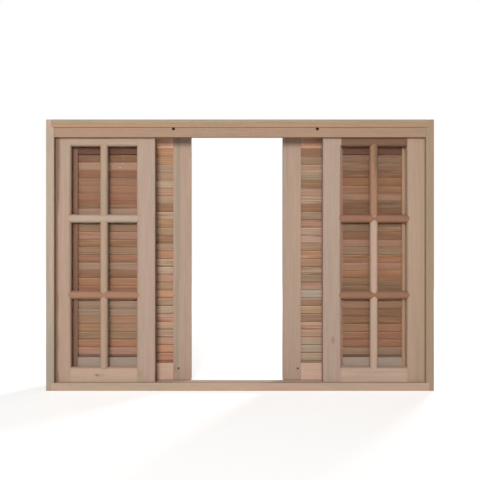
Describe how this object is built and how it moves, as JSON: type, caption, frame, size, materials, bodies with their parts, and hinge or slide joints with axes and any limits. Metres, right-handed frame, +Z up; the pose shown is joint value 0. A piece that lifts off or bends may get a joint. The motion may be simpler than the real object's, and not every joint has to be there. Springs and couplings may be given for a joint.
{
  "type": "wooden sliding shutter window",
  "caption": "Wooden window with glazed sashes and louvred shutters that slide in grooves of a full frame, in front of and behind fixed louvred side panels.",
  "frame": {"origin": "middle of the frame's underside, at half its depth", "axes": "+X along the window's width to the right as seen from the room, +Y from the room to the outside, +Z up"},
  "size_m": [1.5, 0.14, 1.05],
  "materials": {
    "frame_wood": "bare planed wood",
    "leaf_wood": "bare planed wood",
    "slat_wood": "bare planed wood",
    "glass": "clear"
  },
  "bodies": {
    "frame": {"left_jamb": "frame_wood", "right_jamb": "frame_wood", "head": "frame_wood", "head_guides": "frame_wood", "sill": "frame_wood", "head_fascia": "frame_wood", "left_louvre_outer_stile": "leaf_wood", "left_louvre_inner_stile": "leaf_wood", "left_louvre_top_rail": "leaf_wood", "left_louvre_bottom_rail": "leaf_wood", "left_louvre_slats": "slat_wood", "right_louvre_outer_stile": "leaf_wood", "right_louvre_inner_stile": "leaf_wood", "right_louvre_top_rail": "leaf_wood", "right_louvre_bottom_rail": "leaf_wood", "right_louvre_slats": "slat_wood"},
    "left_sash": {"left_sash_outer_stile": "leaf_wood", "left_sash_inner_stile": "leaf_wood", "left_sash_top_rail": "leaf_wood", "left_sash_bottom_rail": "leaf_wood", "left_sash_cross_bars": "leaf_wood", "left_sash_upright_bars": "leaf_wood", "left_sash_panes": "glass", "left_sash_glazing_beads": "leaf_wood"},
    "right_sash": {"right_sash_outer_stile": "leaf_wood", "right_sash_inner_stile": "leaf_wood", "right_sash_top_rail": "leaf_wood", "right_sash_bottom_rail": "leaf_wood", "right_sash_cross_bars": "leaf_wood", "right_sash_upright_bars": "leaf_wood", "right_sash_panes": "glass", "right_sash_glazing_beads": "leaf_wood"},
    "left_shutter": {"left_shutter_outer_stile": "leaf_wood", "left_shutter_inner_stile": "leaf_wood", "left_shutter_top_rail": "leaf_wood", "left_shutter_bottom_rail": "leaf_wood", "left_shutter_slats": "slat_wood"},
    "right_shutter": {"right_shutter_outer_stile": "leaf_wood", "right_shutter_inner_stile": "leaf_wood", "right_shutter_top_rail": "leaf_wood", "right_shutter_bottom_rail": "leaf_wood", "right_shutter_slats": "slat_wood"}
  },
  "joints": [
    {"name": "left_sash_slide", "type": "slide", "parent": "frame", "child": "left_sash", "axis": [1, 0, 0], "range_m": [0, 0.3305]},
    {"name": "right_sash_slide", "type": "slide", "parent": "frame", "child": "right_sash", "axis": [-1, 0, 0], "range_m": [-0.008, 0.3225]},
    {"name": "left_shutter_slide", "type": "slide", "parent": "frame", "child": "left_shutter", "axis": [1, 0, 0], "range_m": [-0.135, 0.1955]},
    {"name": "right_shutter_slide", "type": "slide", "parent": "frame", "child": "right_shutter", "axis": [-1, 0, 0], "range_m": [-0.159, 0.1715]}
  ]
}
